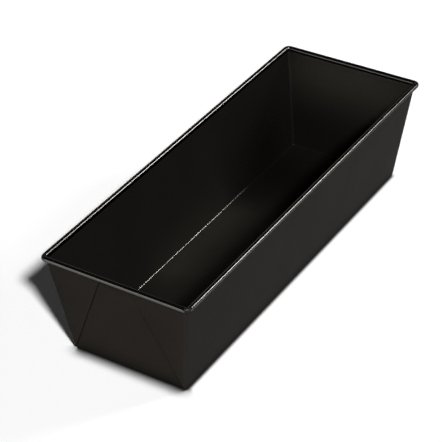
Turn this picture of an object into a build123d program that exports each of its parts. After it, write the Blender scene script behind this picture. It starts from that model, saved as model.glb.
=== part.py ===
from build123d import *
import os
from math import acos, cos, degrees, radians, sin, tan

# Open loaf pan. One sheet is folded into a long box with flared walls: its spare corners lie
# folded on the end walls as gussets, and its rim is rolled outwards round a wire.
# X runs along the pan, Y across it and Z up. The origin is under the middle of the floor.

# Overall sizes, measured over the bead of the rim
overall_length = 300.0
overall_width = 108.0
overall_height = 75.0

# Sheet and wire
sheet_thickness = 0.5
wire_diameter = 2.5
wire_clearance = 0.05

# Walls: their lean from upright, and the folds on the inside of the pan
wall_lean_degrees = 7.5
floor_bend_radius = 0.8
floor_corner_radius = 1.3

# Rim: the corner on the bead's inner side, the slit across the curl beside each corner,
# how far the end's curl runs past the corner to that slit, the gap that the sheet's edge
# leaves under the bead, and the gap between the wire's two ends
rim_inside_corner_radius = 1.1
curl_slit_width = 0.6
curl_past_corner = 1.0
curl_edge_gap = 0.2
wire_joint_gap = 0.4

# Gussets: the lean of the free fold edge from the end wall's slope, the hairline gap between
# gusset and wall, the strip beside the corner where the sheet joins both, the gap under the
# bead, and the corner fold seen from above
gusset_edge_lean_degrees = 23.0
gusset_wall_gap = 0.1
gusset_joined_width = 1.5
gusset_rim_gap = 0.15
gusset_corner_radius = 1.8

# Length by which a shape that only cuts or gets cut stands past the cut
overrun = 5.0

lean = radians(wall_lean_degrees)
curl_inner_radius = wire_diameter / 2 + wire_clearance
curl_outer_radius = curl_inner_radius + sheet_thickness
rim_corner_radius = rim_inside_corner_radius + curl_outer_radius
wire_height = overall_height - curl_outer_radius
wire_half_length = overall_length / 2 - curl_outer_radius
wire_half_width = overall_width / 2 - curl_outer_radius

# Heights where the walls run into the curl, and where the gussets end under the bead
wall_height = wire_height + curl_inner_radius * sin(lean)
gusset_height = wire_height - curl_outer_radius - gusset_rim_gap

# Thickness of a wall measured level, and of a gusset square to its wall: two leaves of the
# sheet and the hairline gap behind them
level_thickness = sheet_thickness / cos(lean)
gusset_thickness = 2 * sheet_thickness + gusset_wall_gap


def wall_inset(height):
    """Level distance from the wire's centre line in to the inside face of the wall."""
    rise_to_wire = wire_height + curl_outer_radius * sin(lean) - height
    return curl_outer_radius * cos(lean) + rise_to_wire * tan(lean)


def cavity_corner_radius(height):
    """Radius of the cavity's corner, which changes evenly from the floor up to the rim."""
    rim_radius = rim_corner_radius - wall_inset(wall_height)
    climb_share = (height - sheet_thickness) / (wall_height - sheet_thickness)
    return floor_corner_radius + climb_share * (rim_radius - floor_corner_radius)


def wall_section(height, outset):
    """Level section of the flared walls, drawn outside the cavity by the outset."""
    RectangleRounded(
        2 * (wire_half_length - wall_inset(height) + outset),
        2 * (wire_half_width - wall_inset(height) + outset),
        cavity_corner_radius(height) + outset,
    )


def wall_face(across, half_size, thickness):
    """Plane of a wall's outer face, for the direction across it and half the cavity there."""
    foot = across * (half_size - wall_inset(0) + level_thickness)
    slope_normal = across * cos(lean) - Vector(0, 0, sin(lean))
    return Plane(
        origin=foot + slope_normal * thickness,
        x_dir=Vector(0, 0, 1).cross(across),
        z_dir=slope_normal,
    )


def flared_box(end_thickness):
    """Solid box in the shape of the walls' outside, with its ends this much thicker."""
    Box(
        overall_length + overrun,
        overall_width + overrun,
        gusset_height,
        align=(Align.CENTER, Align.CENTER, Align.MIN),
    )
    for side in (1, -1):
        end_face = wall_face(Vector(side, 0, 0), wire_half_length, end_thickness)
        side_face = wall_face(Vector(0, side, 0), wire_half_width, 0)
        split(bisect_by=end_face, keep=Keep.BOTTOM)
        split(bisect_by=side_face, keep=Keep.BOTTOM)


# Section of the curl: it leaves the wall at a tangent, goes over the wire and ends short of
# the wall below
curl_start = 180 - wall_lean_degrees
curl_open_angle = degrees(acos((curl_inner_radius - curl_edge_gap) / curl_outer_radius))
curl_turn = 360 - curl_open_angle


def curl_section():
    """Section of the curl about the wire, with local X pointing out of the pan and Y up."""
    foot = (-wall_inset(wall_height), wall_height - wire_height)
    with BuildLine() as outline:
        outside = CenterArc((0, 0), curl_outer_radius, curl_start, -curl_turn)
        inside = CenterArc((0, 0), curl_inner_radius, curl_start, -curl_turn)
        Polyline(outside @ 0, foot, inside @ 0)
        Line(outside @ 1, inside @ 1)
    make_face(outline.edges())


# Space inside the pan
with BuildPart() as cavity:
    for height in (sheet_thickness, wall_height):
        with BuildSketch(Plane.XY.offset(height)):
            wall_section(height, 0)
    loft(ruled=True)
    fillet(cavity.faces().sort_by(Axis.Z)[0].edges(), floor_bend_radius)

# Outside of the box where the gussets double its ends
with BuildPart() as folded_box:
    flared_box(gusset_thickness)
    fillet(folded_box.edges().group_by(Axis.Z)[1], gusset_corner_radius)
    fillet(folded_box.edges().group_by(Axis.Z)[0], floor_bend_radius + sheet_thickness)

# Gusset of the corner at +X and +Y, with its fold and the hairline gap behind its leaves
end_wall = wall_face(Vector(1, 0, 0), wire_half_length, 0)
corner_y = wire_half_width - wall_inset(0) + level_thickness
top_rise = gusset_height / cos(lean) + overrun
edge_run = top_rise * tan(radians(gusset_edge_lean_degrees))
corner_run = top_rise * sin(lean)

with BuildPart() as gusset:
    with BuildSketch(end_wall.offset(-overrun)):
        with BuildLine():
            Polyline(
                (corner_y, -overrun),
                (corner_y, 0),
                (corner_y - edge_run, top_rise),
                (wire_half_width + overrun, top_rise),
                (wire_half_width + overrun, -overrun),
                close=True,
            )
        make_face()
    extrude(amount=overrun + gusset_thickness)
    free_face = gusset.faces().sort_by(Axis.Y)[0]
    outward = Axis(end_wall.origin, end_wall.z_dir)
    fillet(free_face.edges().sort_by(outward)[-1], sheet_thickness)
    with BuildSketch(end_wall):
        with BuildLine():
            Polyline(
                (0, 0),
                (corner_y - gusset_joined_width, 0),
                (corner_y - gusset_joined_width + corner_run, top_rise),
                (0, top_rise),
                close=True,
            )
        make_face()
    extrude(amount=gusset_wall_gap, mode=Mode.SUBTRACT)
    add(folded_box.part, mode=Mode.INTERSECT)

with BuildPart() as end_gussets:
    add(gusset.part)
    mirror(gusset.part, about=Plane.XZ)

# Curl along one end and round its corners, and curl along one side between its slits
end_curl_x = wire_half_length - rim_corner_radius - curl_past_corner
side_curl_x = end_curl_x - curl_slit_width

with BuildPart() as end_curl:
    with BuildLine():
        FilletPolyline(
            (end_curl_x, wire_half_width, wire_height),
            (wire_half_length, wire_half_width, wire_height),
            (wire_half_length, -wire_half_width, wire_height),
            (end_curl_x, -wire_half_width, wire_height),
            radius=rim_corner_radius,
        )
    with BuildSketch(
        Plane(
            origin=(end_curl_x, wire_half_width, wire_height),
            x_dir=(0, 1, 0),
            z_dir=(1, 0, 0),
        )
    ):
        curl_section()
    sweep()

with BuildPart() as side_curl:
    with BuildSketch(
        Plane(
            origin=(-side_curl_x, wire_half_width, wire_height),
            x_dir=(0, 1, 0),
            z_dir=(1, 0, 0),
        )
    ):
        curl_section()
    extrude(amount=2 * side_curl_x)

# Outside of the walls above the gussets, where their corners open into the rim's
with BuildPart() as wall_top:
    for height in (gusset_height, wall_height):
        with BuildSketch(Plane.XY.offset(height)):
            wall_section(height, level_thickness)
    loft(ruled=True)

# The folded sheet, in one piece
with BuildPart() as pan_body:
    flared_box(0)
    fillet(pan_body.edges().group_by(Axis.Z)[1], gusset_corner_radius)
    fillet(pan_body.edges().group_by(Axis.Z)[0], floor_bend_radius + sheet_thickness)
    add(end_gussets.part)
    mirror(end_gussets.part, about=Plane.YZ)
    add(wall_top.part)
    add(cavity.part, mode=Mode.SUBTRACT)
    add(side_curl.part)
    mirror(side_curl.part, about=Plane.XZ)
    add(end_curl.part)
    mirror(end_curl.part, about=Plane.YZ)
pan_body.part.label = "pan_body"

# The wire in the rim, bent into a loop whose ends meet in the middle of a long side
with BuildPart() as rim_wire:
    with BuildLine():
        FilletPolyline(
            (wire_joint_gap / 2, wire_half_width, wire_height),
            (wire_half_length, wire_half_width, wire_height),
            (wire_half_length, -wire_half_width, wire_height),
            (-wire_half_length, -wire_half_width, wire_height),
            (-wire_half_length, wire_half_width, wire_height),
            (-wire_joint_gap / 2, wire_half_width, wire_height),
            radius=rim_corner_radius,
        )
    with BuildSketch(
        Plane(
            origin=(wire_joint_gap / 2, wire_half_width, wire_height),
            z_dir=(1, 0, 0),
        )
    ):
        Circle(wire_diameter / 2)
    sweep()
rim_wire.part.label = "rim_wire"

os.makedirs("parts", exist_ok=True)
export_step(pan_body.part, "parts/pan_body.step")
export_step(rim_wire.part, "parts/rim_wire.step")
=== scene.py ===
from math import acos, asin, cos, pi, radians, sin, tan

import bmesh
import bpy
from mathutils import Matrix, Vector


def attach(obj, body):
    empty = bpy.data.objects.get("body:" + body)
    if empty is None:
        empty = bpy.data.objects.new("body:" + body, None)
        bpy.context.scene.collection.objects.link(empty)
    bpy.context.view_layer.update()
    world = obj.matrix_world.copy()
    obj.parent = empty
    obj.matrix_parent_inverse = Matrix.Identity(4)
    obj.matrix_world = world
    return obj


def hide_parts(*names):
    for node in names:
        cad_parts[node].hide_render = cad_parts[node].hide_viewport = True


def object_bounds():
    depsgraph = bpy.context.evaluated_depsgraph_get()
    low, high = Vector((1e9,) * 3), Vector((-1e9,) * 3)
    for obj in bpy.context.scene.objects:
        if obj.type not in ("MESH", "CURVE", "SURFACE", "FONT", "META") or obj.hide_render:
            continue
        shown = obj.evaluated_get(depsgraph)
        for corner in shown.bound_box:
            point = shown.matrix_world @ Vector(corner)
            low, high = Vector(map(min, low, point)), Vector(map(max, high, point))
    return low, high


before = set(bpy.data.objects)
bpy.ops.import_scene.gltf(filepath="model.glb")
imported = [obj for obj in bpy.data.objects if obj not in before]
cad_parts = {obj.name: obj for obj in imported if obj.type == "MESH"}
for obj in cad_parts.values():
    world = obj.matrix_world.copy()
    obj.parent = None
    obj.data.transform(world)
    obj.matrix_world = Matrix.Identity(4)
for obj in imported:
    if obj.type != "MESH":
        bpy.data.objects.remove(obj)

# Loaf pan of coated sheet on a white floor, seen at the photograph's angle.
# X runs along the pan with its near end at -X, Y runs across it and Z points up, in metres.
cad_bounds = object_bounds()

MM = 0.001

# Camera, at the photograph's angle
CAMERA_AZIMUTH = radians(-57.316)
CAMERA_ELEVATION = radians(35.029)
CAMERA_ROLL = radians(-1.579)
CAMERA_DISTANCE = 1.16392
CAMERA_RIGHT = 0.01602
CAMERA_UP = -0.02339
CAMERA_LENS = 140.54
SENSOR_WIDTH = 36

back = Vector((
    sin(CAMERA_AZIMUTH) * cos(CAMERA_ELEVATION),
    -cos(CAMERA_AZIMUTH) * cos(CAMERA_ELEVATION),
    sin(CAMERA_ELEVATION),
))
level_right = Vector((cos(CAMERA_AZIMUTH), sin(CAMERA_AZIMUTH), 0))
level_up = back.cross(level_right)
right = cos(CAMERA_ROLL) * level_right + sin(CAMERA_ROLL) * level_up
up = back.cross(right)
camera_data = bpy.data.cameras.new("camera")
camera_data.lens = CAMERA_LENS
camera_data.sensor_width = SENSOR_WIDTH
camera = bpy.data.objects.new("camera", camera_data)
turn = Matrix((right, up, back)).transposed()
eye = turn @ Vector((-CAMERA_RIGHT, -CAMERA_UP, CAMERA_DISTANCE))
camera.matrix_world = Matrix.Translation(eye) @ turn.to_4x4()
bpy.context.scene.collection.objects.link(camera)
bpy.context.scene.camera = camera
bpy.context.scene.view_settings.view_transform = "Standard"

# Sizes of the pan, as in the part's source
SHEET = 0.5 * MM
CURL_INSIDE = 1.3 * MM
CURL_OUTSIDE = CURL_INSIDE + SHEET
CURL_EDGE_GAP = 0.2 * MM
LEAN = radians(7.5)
FLOOR_BEND = 0.8 * MM
FLOOR_CORNER = 1.3 * MM
RIM_CORNER = CURL_OUTSIDE + 1.1 * MM
SLIT_WIDTH = 0.6 * MM
SLIT_PAST_CORNER = 1.0 * MM
GUSSET_LEAN = radians(23)
GUSSET_THICK = 2 * SHEET + 0.1 * MM
GUSSET_RIM_GAP = 0.15 * MM

# Low waviness of the long walls: its height, the lengths of its two swells, the angle at which
# the long one starts, the angle that the short one gains up the wall, the short one's height
# beside the long one's, and the power by which the waviness fades out towards the corners
WAVE = 0.12 * MM
WAVE_LENGTH = 105 * MM
WAVE_SHORT_LENGTH = 66.15 * MM
WAVE_START = 0.7
WAVE_TURN = 3
WAVE_SHORT_SHARE = 0.6
WAVE_FADE_POWER = 6

# How finely the mesh follows its shapes, and how close its support lines lie to them
SIDE_STEPS = 30
END_STEPS = 12
CORNER_STEPS = 8
BEND_STEPS = 8
WALL_STEPS = 12
BEAD_STEPS = 48
CURL_STEPS = 24
FOLD_STEPS = 5
SUPPORT = 0.3 * MM
SHARP_ANGLE = radians(35)

# Gussets in the mesh: how deep they stand in the end walls' sheet, how many times its thickness
# a gusset is wide at least, the share of its run where its middle line lies at least, the least
# value that its thinning divides by, and, in thicknesses of the sheet, the rise of its lowest
# row and how fast the next rows' rises grow
EMBED = 0.3 * MM
GUSSET_WIDTH_TO_THICK = 1.5
GUSSET_LEAST_MIDDLE = 0.2
LEAST_DIVISOR = 0.05
GUSSET_FIRST_RISE = 1.4
GUSSET_RISE_GROWTH = 0.35

wire_x, wire_y, wire_z = (reach - CURL_OUTSIDE for reach in cad_bounds[1])
wall_top = wire_z + CURL_OUTSIDE * sin(LEAN)
level_sheet = SHEET / cos(LEAN)
straight_x = wire_x - RIM_CORNER


# Helpers for the shape
def inset(z):
    """Level distance from the wire's centre line in to the wall's inside face."""
    return CURL_OUTSIDE * cos(LEAN) + (wall_top - z) * tan(LEAN)


def corner_radius(z):
    """Radius of the cavity's corner at this height."""
    climb_share = (z - SHEET) / (wall_top - SHEET)
    return FLOOR_CORNER + climb_share * (RIM_CORNER - inset(wall_top) - FLOOR_CORNER)


def spaced(first, last, steps):
    """Evenly spaced values from the first to the last."""
    return [first + (last - first) * k / steps for k in range(steps + 1)]


def straight_shares(half_length, steps):
    """Shares along a straight side, with a support line close to each end."""
    edge = 1 - SUPPORT / half_length
    return [-edge] + spaced(-1, 1, steps)[1:-1] + [edge]


def along_side(side, share):
    """Station on a long side, at this share of its straight half length.

    A station turns a point's outset from the wire's centre line, and its corner radius, into
    its place in X and Y.
    """
    def place(outset, radius):
        return share * (wire_x + outset - radius), side * (wire_y + outset)
    return place


def along_end(end, share):
    """Station on an end, at this share of its straight half length."""
    def place(outset, radius):
        return end * (wire_x + outset), share * (wire_y + outset - radius)
    return place


def round_corner(end, side, angle):
    """Station on a corner, at this angle from the end's direction."""
    def place(outset, radius):
        x = wire_x + outset - radius + radius * cos(angle)
        y = wire_y + outset - radius + radius * sin(angle)
        return end * x, side * y
    return place


def add_skin(mesh, rows, closed_rows, ring):
    """Faces between rows of points, as a ring of rows or as a run with its ends capped."""
    made = [[mesh.verts.new(point) for point in row] for row in rows]
    pairs = list(zip(made, made[1:]))
    if ring:
        pairs.append((made[-1], made[0]))
    for row, after in pairs:
        for k in range(0 if closed_rows else 1, len(row)):
            mesh.faces.new((row[k - 1], row[k], after[k], after[k - 1]))
    if not ring:
        mesh.faces.new(made[0])
        mesh.faces.new(list(reversed(made[-1])))
    return made


# Stations round the whole pan, and round each end to just past its corners
side_shares = straight_shares(wire_x, SIDE_STEPS)
end_shares = straight_shares(wire_y, END_STEPS)
quarter = spaced(0, pi / 2, CORNER_STEPS)


def end_round(end):
    """Stations round one end, from the corner at +Y to the corner at -Y."""
    stations = [round_corner(end, 1, angle) for angle in reversed(quarter)]
    stations += [along_end(end, share) for share in reversed(end_shares)]
    stations += [round_corner(end, -1, angle) for angle in quarter]
    return stations


whole_round = end_round(1)
whole_round += [along_side(-1, share) for share in reversed(side_shares)]
whole_round += list(reversed(end_round(-1)))
whole_round += [along_side(1, share) for share in side_shares]


# Floor and walls
def wave(x, z):
    """Low waviness of the long walls, which fades out at their edges."""
    along = max(0.0, 1 - (x / (straight_x - RIM_CORNER)) ** WAVE_FADE_POWER)
    upward = sin(pi * min(max(z / wall_top, 0), 1)) ** 2
    long_swell = sin(2 * pi * x / WAVE_LENGTH + WAVE_START)
    short_swell = sin(2 * pi * x / WAVE_SHORT_LENGTH + WAVE_TURN * z / wall_top)
    swell = (long_swell + WAVE_SHORT_SHARE * short_swell) / (1 + WAVE_SHORT_SHARE)
    return WAVE * along * upward * swell


def sheet_face(bend_radius, lift):
    """Section of one face of the sheet, from the floor round the bend and up the wall.

    The lift is its distance from the inside face. Points are outsets and heights.
    """
    bend_z = SHEET + FLOOR_BEND
    bend = Vector((-inset(bend_z) - FLOOR_BEND / cos(LEAN), bend_z))
    points = [bend - Vector((SUPPORT, bend_radius))]
    for angle in spaced(-pi / 2, -LEAN, BEND_STEPS):
        points.append(bend + bend_radius * Vector((cos(angle), sin(angle))))
    foot = points[-1]
    top = Vector((0, wire_z)) - (CURL_OUTSIDE - lift) * Vector((cos(LEAN), -sin(LEAN)))
    support_share = SUPPORT / (top - foot).length
    steps = [support_share] + spaced(0, 1, WALL_STEPS)[1:-1] + [1 - support_share, 1]
    points += [foot.lerp(top, share) for share in steps]
    return points


def wall_section():
    """Section of the sheet from the floor's inside over the wall's top to its underside.

    Each point is its outset from the wire's centre line, its height and its corner radius.
    """
    section = []
    for outset, z in sheet_face(FLOOR_BEND, 0):
        section.append((outset, z, corner_radius(z) + inset(z) + outset))
    for outset, z in reversed(sheet_face(FLOOR_BEND + SHEET, SHEET)):
        section.append((outset, z, corner_radius(z) + inset(z) + outset))
    return section


def add_walls(mesh):
    """Floor and walls of the sheet, in one skin round the pan."""
    wavy_from = wire_y - inset(0) - FLOOR_CORNER
    rows = []
    for station in whole_round:
        row = []
        for outset, z, radius in wall_section():
            x, y = station(outset, radius)
            if abs(y) > wavy_from:
                y += wave(x, z) if y > 0 else -wave(x, z)
            row.append(Vector((x, y, z)))
        rows.append(row)
    made = add_skin(mesh, rows, closed_rows=False, ring=True)
    mesh.faces.new([row[0] for row in made])
    mesh.faces.new([row[-1] for row in reversed(made)])


# Rim
def curl_section():
    """Closed section of the curl about the wire, as outsets and heights."""
    start = pi - LEAN
    finish = start - 2 * pi + acos((CURL_INSIDE - CURL_EDGE_GAP) / CURL_OUTSIDE)
    points = []
    for angle in spaced(start, finish, BEAD_STEPS):
        points.append((CURL_OUTSIDE * cos(angle), wire_z + CURL_OUTSIDE * sin(angle)))
    for angle in spaced(finish, start, BEAD_STEPS):
        points.append((CURL_INSIDE * cos(angle), wire_z + CURL_INSIDE * sin(angle)))
    return points


def add_curls(mesh):
    """The four lengths of the rim's curl, parted by a slit beside each corner."""
    end_share = (straight_x - SLIT_PAST_CORNER) / straight_x
    side_share = end_share - SLIT_WIDTH / straight_x
    paths = []
    for end in (1, -1):
        first = along_side(1, end * end_share)
        last = along_side(-1, end * end_share)
        paths.append([first] + end_round(end) + [last])
    for side in (1, -1):
        shares = spaced(-side_share, side_share, CURL_STEPS)
        paths.append([along_side(side, share) for share in shares])
    for path in paths:
        rows = []
        for station in path:
            row = []
            for outset, z in curl_section():
                row.append(Vector((*station(outset, RIM_CORNER + outset), z)))
            rows.append(row)
        add_skin(mesh, rows, closed_rows=True, ring=False)


# Gussets
def gusset_row(rise):
    """Closed section of a gusset at this rise up the end wall's slope, at the corner +X +Y.

    The leaf lies on the end wall from its free fold edge to the corner, and thins out round the
    corner to run into the side wall.
    """
    height = rise * cos(LEAN)
    rounding = corner_radius(height) + level_sheet
    corner_y = wire_y - inset(height) + level_sheet
    wall_x = wire_x - inset(0) + level_sheet + rise * sin(LEAN)
    width = rise * (tan(GUSSET_LEAN) + sin(LEAN))
    flat = max(0.0, width - rounding)
    first_angle = asin(max(0.0, 1 - width / rounding))
    far = flat + rounding * (pi / 2 - first_angle)
    thick = min(GUSSET_THICK, width / GUSSET_WIDTH_TO_THICK)
    fold = min(SHEET, thick / 2)
    middle = max(flat, fold + GUSSET_LEAST_MIDDLE * (far - fold))

    def point(run, lift):
        """Place at this run from the free edge, and this lift off the wall's outer face."""
        if run < flat:
            out, y = lift, corner_y - width + run
        else:
            angle = first_angle + (run - flat) / rounding
            out = lift * cos(angle) - rounding * (1 - cos(angle))
            y = lift * sin(angle) + corner_y - rounding * (1 - sin(angle))
        return Vector((wall_x + out * cos(LEAN), y, height - out * sin(LEAN)))

    def lift_at(run):
        """Thickness left at this run, as the leaf thins out round the corner."""
        angle = first_angle + max(0.0, run - flat) / rounding
        return thick * cos(angle) ** 2 / max(cos(first_angle) ** 2, LEAST_DIVISOR)

    row = [point(0, -EMBED)]
    for angle in spaced(0, pi / 2, FOLD_STEPS):
        row.append(point(fold * (1 - cos(angle)), thick - fold * (1 - sin(angle))))
    runs = spaced(fold, middle, FOLD_STEPS - 1)[1:]
    runs += spaced(middle, far, CORNER_STEPS + 2)[1:]
    for run in runs:
        row.append(point(run, lift_at(run)))
    row.append(point(far, -EMBED))
    row.append(point(middle, -EMBED))
    return row


def add_gussets(mesh):
    """The corner gussets, folded flat on the end walls."""
    top_rise = (wire_z - CURL_OUTSIDE - GUSSET_RIM_GAP) / cos(LEAN)
    rises = []
    for k in range(FOLD_STEPS + 1):
        rises.append(SHEET * (GUSSET_FIRST_RISE + GUSSET_RISE_GROWTH * k * k))
    rises += spaced(rises[-1], top_rise, WALL_STEPS)[1:]
    for end in (1, -1):
        for side in (1, -1):
            rows = []
            for rise in rises:
                rows.append([Vector((end * x, side * y, z)) for x, y, z in gusset_row(rise)])
            add_skin(mesh, rows, closed_rows=True, ring=False)


def new_piece(name, *builders):
    """Smooth mesh object from the builders, with its sharp edges kept sharp."""
    made = bmesh.new()
    for build in builders:
        build(made)
    bmesh.ops.recalc_face_normals(made, faces=made.faces)
    mesh = bpy.data.meshes.new(name)
    made.to_mesh(mesh)
    made.free()
    mesh.shade_smooth()
    mesh.set_sharp_from_angle(angle=SHARP_ANGLE)
    piece = bpy.data.objects.new(name, mesh)
    bpy.context.scene.collection.objects.link(piece)
    return piece


sheet = new_piece("folded_sheet", add_walls, add_curls, add_gussets)
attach(sheet, "root")
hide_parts("pan_body")


# Helpers for materials
def add_node(tree, kind, sockets=None, **settings):
    """Add a shader node with its settings, and fill or link its sockets."""
    node = tree.nodes.new("ShaderNode" + kind)
    for name, value in settings.items():
        setattr(node, name, value)
    fill(tree, node, sockets or {})
    return node


def fill(tree, node, sockets):
    """Fill or link the sockets of a node."""
    for name, value in sockets.items():
        if isinstance(value, bpy.types.NodeSocket):
            tree.links.new(value, node.inputs[name])
        else:
            node.inputs[name].default_value = value


def new_material(name):
    """A node material, its node tree and its Principled shader."""
    material = bpy.data.materials.new(name)
    material.use_nodes = True
    return material, material.node_tree, material.node_tree.nodes["Principled BSDF"]


def object_place(tree):
    """Place of a shaded point on its object."""
    return add_node(tree, "TexCoord").outputs["Object"]


def axes_of(tree, place):
    """X, Y and Z of a place."""
    return add_node(tree, "SeparateXYZ", {"Vector": place}).outputs


def math(tree, operation, *values):
    """Result of a Math node."""
    return add_node(tree, "Math", dict(enumerate(values)), operation=operation).outputs["Value"]


def ramp(tree, value, start, full, low=0.0, high=1.0):
    """Value mapped from the range start..full to low..high, softly and clamped."""
    return add_node(
        tree, "MapRange",
        {"Value": value, "From Min": start, "From Max": full, "To Min": low, "To Max": high},
        interpolation_type="SMOOTHSTEP",
    ).outputs["Result"]


def blend(tree, share, first, second):
    """Mix of two values by a share."""
    return add_node(tree, "Mix", {"Factor": share, "A": first, "B": second}).outputs["Result"]


def blend_colour(tree, share, first, second):
    """Mix of two colours by a share, where a plain colour is red, green and blue."""
    sockets = {"Factor": share}
    for name, colour in (("A", first), ("B", second)):
        sockets[name] = (*colour, 1) if isinstance(colour, tuple) else colour
    return add_node(tree, "Mix", sockets, data_type="RGBA").outputs["Result"]


def noise(tree, place, scale, detail=2.0, roughness=0.5):
    """Noise from 0 to 1 with this many bumps to the metre."""
    return add_node(
        tree, "TexNoise",
        {"Vector": place, "Scale": scale, "Detail": detail, "Roughness": roughness},
    ).outputs["Fac"]


def bump(tree, height, strength, distance):
    """Shading normal of a bumpy surface."""
    return add_node(
        tree, "Bump", {"Height": height, "Strength": strength, "Distance": distance},
    ).outputs["Normal"]


# Coat: dark and finely grained. It is worn bright on the bead of the rim, though not at the
# rim's near corners, and along the inside fold where a long wall meets the floor, up to where
# the fold's wear ends. Past that end, painted shade darkens the coat's colour round a place low
# beside the +Y wall.
RIM_WEAR_START = 71.3 * MM
RIM_WEAR_FULL = 72.1 * MM
FOLD_HALF_LENGTH = 137.0 * MM
FOLD_HALF_WIDTH = 41.0 * MM
FOLD_EDGE = 0.1 * MM
FOLD_FLOOR = 0.52 * MM
FOLD_LOW = 0.6 * MM
FOLD_HIGH = 1.2 * MM
FOLD_TOP = 1.6 * MM
FOLD_WEAR_FULL_X = 45 * MM
FOLD_WEAR_END_X = 75 * MM
CORNER_WEAR_X = -146 * MM
CORNER_WEAR_Y = 50 * MM
CORNER_WEAR_FADE = 1.5 * MM
# Painted shade: the coat's colour darkens towards this place, within this reach, to this share
# at its middle
PAINTED_SHADE_PLACE = Vector((100 * MM, 34 * MM, 8 * MM))
PAINTED_SHADE_REACH = 75 * MM
PAINTED_SHADE_SHARE = 0.45
CLOUD_SCALE = 28
GRAIN_SCALE = 1500
PEEL_SCALE = 420
PEEL_HEIGHT = 0.02 * MM
DEEP_GRAIN = ((0.0182, 0.0159, 0.0138), (0.0242, 0.0213, 0.0181))
LIGHT_GRAIN = ((0.0262, 0.0233, 0.0201), (0.0312, 0.0273, 0.0232))
RIM_WORN = (0.105, 0.1, 0.094)
FOLD_WORN = (0.27, 0.26, 0.245)
BLACK = (0, 0, 0)
COAT_METALLIC = 0.7
COAT_SPECULAR = 0.05
COAT_TINT = (0.3, 0.3, 0.3, 1)
WORN_ROUGHNESS = 0.2
PEEL_STRENGTH = 0.12


def fold_wear(tree, axes):
    """Share of wear on the inside fold."""
    along = math(tree, "ABSOLUTE", axes["X"])
    across = math(tree, "ABSOLUTE", axes["Y"])
    wear = ramp(tree, axes["X"], FOLD_WEAR_END_X, FOLD_WEAR_FULL_X)
    for value, none, full in (
        (axes["Z"], FOLD_FLOOR, FOLD_LOW),
        (axes["Z"], FOLD_TOP, FOLD_HIGH),
        (along, FOLD_HALF_LENGTH + FOLD_EDGE, FOLD_HALF_LENGTH),
        (across, FOLD_HALF_WIDTH + FOLD_EDGE, FOLD_HALF_WIDTH),
    ):
        wear = math(tree, "MULTIPLY", wear, ramp(tree, value, none, full))
    return wear


def corner_gap(tree, axes):
    """Share of wear that is left at the rim's near corners."""
    across = math(tree, "ABSOLUTE", axes["Y"])
    at_end = ramp(tree, axes["X"], CORNER_WEAR_X, CORNER_WEAR_X - CORNER_WEAR_FADE)
    at_side = ramp(tree, across, CORNER_WEAR_Y, CORNER_WEAR_Y + CORNER_WEAR_FADE)
    return math(tree, "SUBTRACT", 1.0, math(tree, "MULTIPLY", at_end, at_side))


def painted_shade(tree, place):
    """Share of the coat's tone left by the painted shade round its place."""
    away = add_node(tree, "VectorMath", {0: place, 1: PAINTED_SHADE_PLACE}, operation="DISTANCE")
    return ramp(tree, away.outputs["Value"], 0, PAINTED_SHADE_REACH, PAINTED_SHADE_SHARE, 1.0)


def coat_material():
    """Non-stick coat of the sheet."""
    material, tree, shader = new_material("non_stick_coat")
    place = object_place(tree)
    axes = axes_of(tree, place)
    on_bead = ramp(tree, axes["Z"], RIM_WEAR_START, RIM_WEAR_FULL)
    on_rim = math(tree, "MULTIPLY", on_bead, corner_gap(tree, axes))
    on_fold = fold_wear(tree, axes)
    wear = math(tree, "MAXIMUM", on_rim, on_fold)
    cloud = noise(tree, place, CLOUD_SCALE, detail=4)
    grain = noise(tree, place, GRAIN_SCALE, detail=3, roughness=0.6)
    peel = noise(tree, place, PEEL_SCALE)
    deep = blend_colour(tree, cloud, *DEEP_GRAIN)
    light = blend_colour(tree, cloud, *LIGHT_GRAIN)
    grained = blend_colour(tree, ramp(tree, grain, 0.45, 0.75), deep, light)
    # The coat's colour with painted shade round a place low inside the far half
    plain = blend_colour(tree, painted_shade(tree, place), BLACK, grained)
    with_rim = blend_colour(tree, on_rim, plain, RIM_WORN)
    roughness = ramp(tree, cloud, 0.3, 0.7, low=0.33, high=0.39)
    fill(tree, shader, {
        "Base Color": blend_colour(tree, on_fold, with_rim, FOLD_WORN),
        "Metallic": blend(tree, wear, COAT_METALLIC, 1.0),
        "Roughness": blend(tree, wear, roughness, WORN_ROUGHNESS),
        "Specular IOR Level": COAT_SPECULAR,
        "Specular Tint": COAT_TINT,
        "Normal": bump(tree, peel, PEEL_STRENGTH, PEEL_HEIGHT),
    })
    return material


# Steel of the wire, which shows in the slits of the curl: dull in patches and finely scratched
DULL_SCALE = 90
SCRATCH_SCALE = 2400
SCRATCH_DEPTH = 0.01 * MM
SCRATCH_STRENGTH = 0.2
DULL_STEEL = (0.43, 0.415, 0.39)
BRIGHT_STEEL = (0.52, 0.51, 0.49)


def steel_material():
    """Drawn steel of the wire."""
    material, tree, shader = new_material("drawn_steel")
    place = object_place(tree)
    dull = noise(tree, place, DULL_SCALE, detail=4)
    scratch = noise(tree, place, SCRATCH_SCALE, detail=3, roughness=0.6)
    bright_share = ramp(tree, dull, 0.35, 0.7)
    fill(tree, shader, {
        "Base Color": blend_colour(tree, bright_share, DULL_STEEL, BRIGHT_STEEL),
        "Metallic": 1.0,
        "Roughness": ramp(tree, scratch, 0.3, 0.7, low=0.3, high=0.42),
        "Normal": bump(tree, scratch, SCRATCH_STRENGTH, SCRATCH_DEPTH),
    })
    return material


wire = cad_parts["rim_wire"]
for piece, material in ((sheet, coat_material()), (wire, steel_material())):
    piece.data.materials.clear()
    piece.data.materials.append(material)

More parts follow.
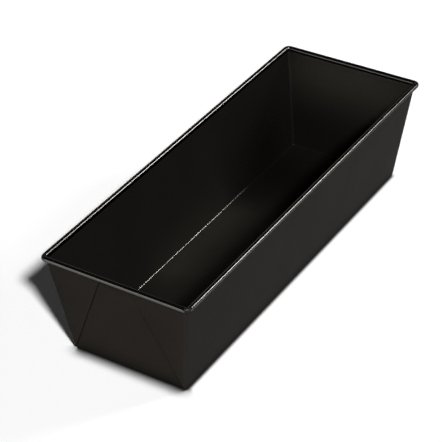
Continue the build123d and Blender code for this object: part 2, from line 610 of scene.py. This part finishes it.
# Floor: white, and darker where the pan shades it closely. That shade reaches farther out at
# the near end than along the sides.
FLOOR_HALF = 20.0
FLOOR_DROP = 0.2 * MM
SIDE_SHADE_REACH = 3 * MM
END_SHADE_REACH = 11 * MM
END_SHADE_START_X = -132 * MM
END_SHADE_FULL_X = -142 * MM
PAPER_SCALE = 9
PAPER_TONES = ((0.975, 0.975, 0.975), (0.985, 0.985, 0.985))
PAPER_ROUGHNESS = 0.9
SHADE_TONE = (0.03, 0.03, 0.03)
FULL_SHADE_OPENNESS = 0.4


def floor_material():
    """White paint with the pan's contact shade."""
    material, tree, shader = new_material("floor_paint")
    place = object_place(tree)
    reach = ramp(
        tree, axes_of(tree, place)["X"], END_SHADE_START_X, END_SHADE_FULL_X,
        low=SIDE_SHADE_REACH, high=END_SHADE_REACH,
    )
    openness = add_node(tree, "AmbientOcclusion", {"Distance": reach}).outputs["AO"]
    unshaded = ramp(tree, openness, FULL_SHADE_OPENNESS, 1.0)
    paper = blend_colour(tree, noise(tree, place, PAPER_SCALE, detail=3), *PAPER_TONES)
    fill(tree, shader, {
        "Base Color": blend_colour(tree, unshaded, SHADE_TONE, paper),
        "Roughness": PAPER_ROUGHNESS,
        "Specular IOR Level": 0.0,
    })
    return material


floor_mesh = bpy.data.meshes.new("floor")
quadrants = ((-1, -1), (1, -1), (1, 1), (-1, 1))
floor_corners = [(x * FLOOR_HALF, y * FLOOR_HALF, 0) for x, y in quadrants]
floor_mesh.from_pydata(floor_corners, [], [(0, 1, 2, 3)])
floor_mesh.materials.append(floor_material())
floor = bpy.data.objects.new("floor", floor_mesh)
floor.location.z = -FLOOR_DROP
bpy.context.scene.collection.objects.link(floor)

# Light. Every lamp's direction is the azimuth and elevation from which it shines.
WORLD_STRENGTH = 0.02
BEAM_SPREAD = radians(5)
BEAM_COLOUR = (0.97, 1.03, 1.0)

world = bpy.data.worlds.new("studio")
bpy.context.scene.world = world
world.use_nodes = True
world.node_tree.nodes["Background"].inputs["Color"].default_value = (1, 1, 1, 1)
world.node_tree.nodes["Background"].inputs["Strength"].default_value = WORLD_STRENGTH


def direction(azimuth, elevation):
    """Unit vector from the pan, by degrees of azimuth and elevation."""
    a = radians(azimuth)
    e = radians(elevation)
    return Vector((sin(a) * cos(e), -cos(a) * cos(e), sin(e)))


def add_light(data, place, towards):
    """Light object at a place, turned to shine along a vector."""
    made = bpy.data.objects.new(data.name, data)
    made.location = place
    made.rotation_euler = towards.to_track_quat("-Z", "Y").to_euler()
    bpy.context.scene.collection.objects.link(made)
    return made


def sun(name, azimuth, elevation, spread, irradiance):
    """Distant lamp, with its spread in degrees."""
    data = bpy.data.lights.new(name, "SUN")
    data.energy = irradiance
    data.angle = radians(spread)
    return add_light(data, Vector(), -direction(azimuth, elevation))


def lamp(name, target, azimuth, elevation, distance, width, height, power):
    """Rectangular soft lamp, aimed at its target from this far away."""
    data = bpy.data.lights.new(name, "AREA")
    data.shape = "RECTANGLE"
    data.size = width
    data.size_y = height
    data.energy = power
    aim = -distance * direction(azimuth, elevation)
    return add_light(data, target - aim, aim)


def beam(**settings):
    """Lamp that shines in a narrow beam, and that no gloss shows."""
    made = lamp(**settings)
    made.data.spread = BEAM_SPREAD
    made.data.color = BEAM_COLOUR
    made.visible_glossy = False


# The key makes the shadow. The next two draw the highlights of the long rims and of the inside
# fold, and the card those of the end rims.
sun("key", azimuth=-39.6, elevation=42.6, spread=5.5, irradiance=4.3)
sun("rim_light", azimuth=51.5, elevation=25, spread=10, irradiance=0.55)
sun("fold_light", azimuth=51, elevation=34, spread=8, irradiance=0.15)
lamp(
    "near_card", target=Vector((0, 0, 0.04)),
    azimuth=243, elevation=9, distance=2, width=0.8, height=0.5, power=3.0,
)

# Seen only in gloss, this card lights the far side of each long rim's bead
back_card = lamp(
    "back_card", target=Vector((0, 0, 0.04)),
    azimuth=136, elevation=15, distance=2, width=1.2, height=1.0, power=3.0,
)
back_card.visible_diffuse = False

# The beams lift the pan's inside: its floor, the top of its far wall, and the fold under its
# +Y wall
beam(
    name="inside_beam", target=Vector((-0.025, 0.002, 0)),
    azimuth=270, elevation=60, distance=0.7, width=0.075, height=0.14, power=0.015,
)
beam(
    name="far_beam", target=Vector((0.14, 0, 0.066)),
    azimuth=270, elevation=18, distance=0.7, width=0.09, height=0.03, power=0.019,
)
beam(
    name="fold_glow", target=Vector((0, 0.034, 0.004)),
    azimuth=0, elevation=62, distance=0.4, width=0.1, height=0.014, power=0.009,
)
